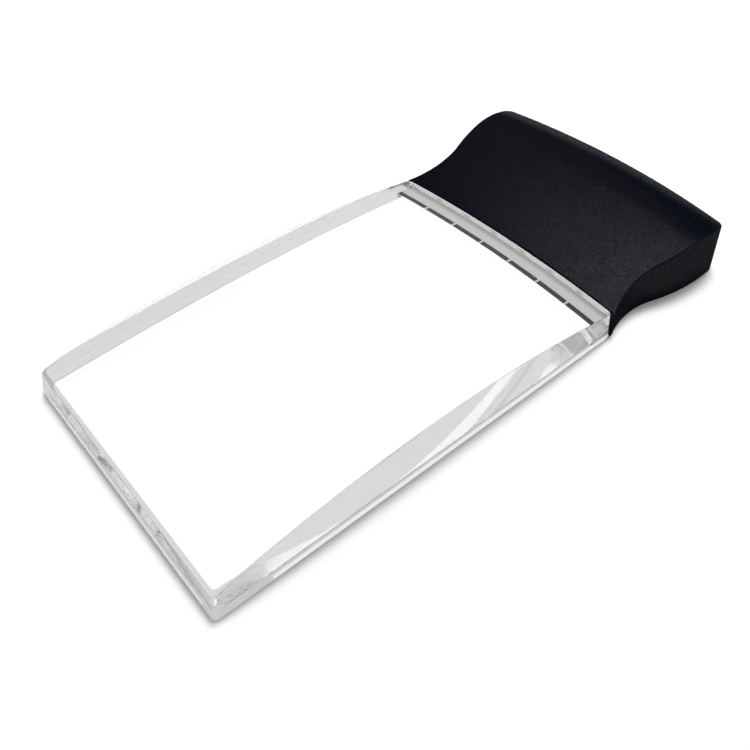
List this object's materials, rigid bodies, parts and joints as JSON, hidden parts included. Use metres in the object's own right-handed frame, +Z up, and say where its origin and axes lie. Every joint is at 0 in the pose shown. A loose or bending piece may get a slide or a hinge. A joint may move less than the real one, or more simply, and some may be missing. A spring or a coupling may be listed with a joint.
{
  "type": "lighted page magnifier",
  "caption": "Page magnifier: a clear arched block lens lit from its end by a black wave-shaped grip with cells, lamp strip, rear push button and a hinged battery door.",
  "frame": {"origin": "middle of the bounding box, at the table face", "axes": "+X along the object from the lens to the grip, +Y across it, +Z up from the page"},
  "size_m": [0.221, 0.1064, 0.0195],
  "materials": {
    "clear_acrylic": "clear cast acrylic, polished faces and a satin rim underneath",
    "white_tape": "white double-sided foam tape",
    "soft_black": "black moulding with a fine speckled soft-touch texture",
    "moulded_black": "plain black moulding, fine matt texture",
    "grey_foam": "dark grey closed-cell foam",
    "cell_jacket": "plain printed film over a steel can, no lettering",
    "nickel_strip": "nickel-plated stamped steel",
    "white_board": "white solder mask on fibre board",
    "led_package": "white package with yellow phosphor",
    "chip_ceramic": "black chip body",
    "white_moulding": "white moulded plastic",
    "green_board": "green solder mask on fibre board",
    "switch_housing": "black switch housing",
    "button_black": "smooth black button",
    "zinc_screw": "zinc-plated steel",
    "foot_rubber": "black rubber",
    "red_insulation": "red insulated lead",
    "black_insulation": "black insulated lead"
  },
  "bodies": {
    "magnifier": {"lens": "clear_acrylic", "lens_tape": "white_tape", "upper_shell": "soft_black", "base_plate": "moulded_black", "front_cell": "cell_jacket", "middle_cell": "cell_jacket", "rear_cell": "cell_jacket", "spring_contacts": "nickel_strip", "plate_contacts": "nickel_strip", "led_board": "white_board", "leds": "led_package", "led_resistors": "chip_ceramic", "reflector": "white_moulding", "switch_board": "green_board", "switch_body": "switch_housing", "shell_screws": "zinc_screw", "foot_pads": "foot_rubber", "red_lead": "red_insulation", "black_lead": "black_insulation", "switch_lead": "red_insulation"},
    "door": {"battery_door": "moulded_black", "door_pad": "grey_foam"},
    "button": {"power_button": "button_black", "switch_plunger": "white_moulding"}
  },
  "joints": [
    {"name": "battery_door_hinge", "type": "hinge", "parent": "magnifier", "child": "door", "pos_m": [0.06847, 0, 0.0014], "axis": [0, 1, 0], "range_deg": [0, 90]},
    {"name": "power_button_press", "type": "slide", "parent": "magnifier", "child": "button", "axis": [-1, 0, 0], "range_m": [0, 0.0008], "stiffness_N_per_m": 1500}
  ]
}
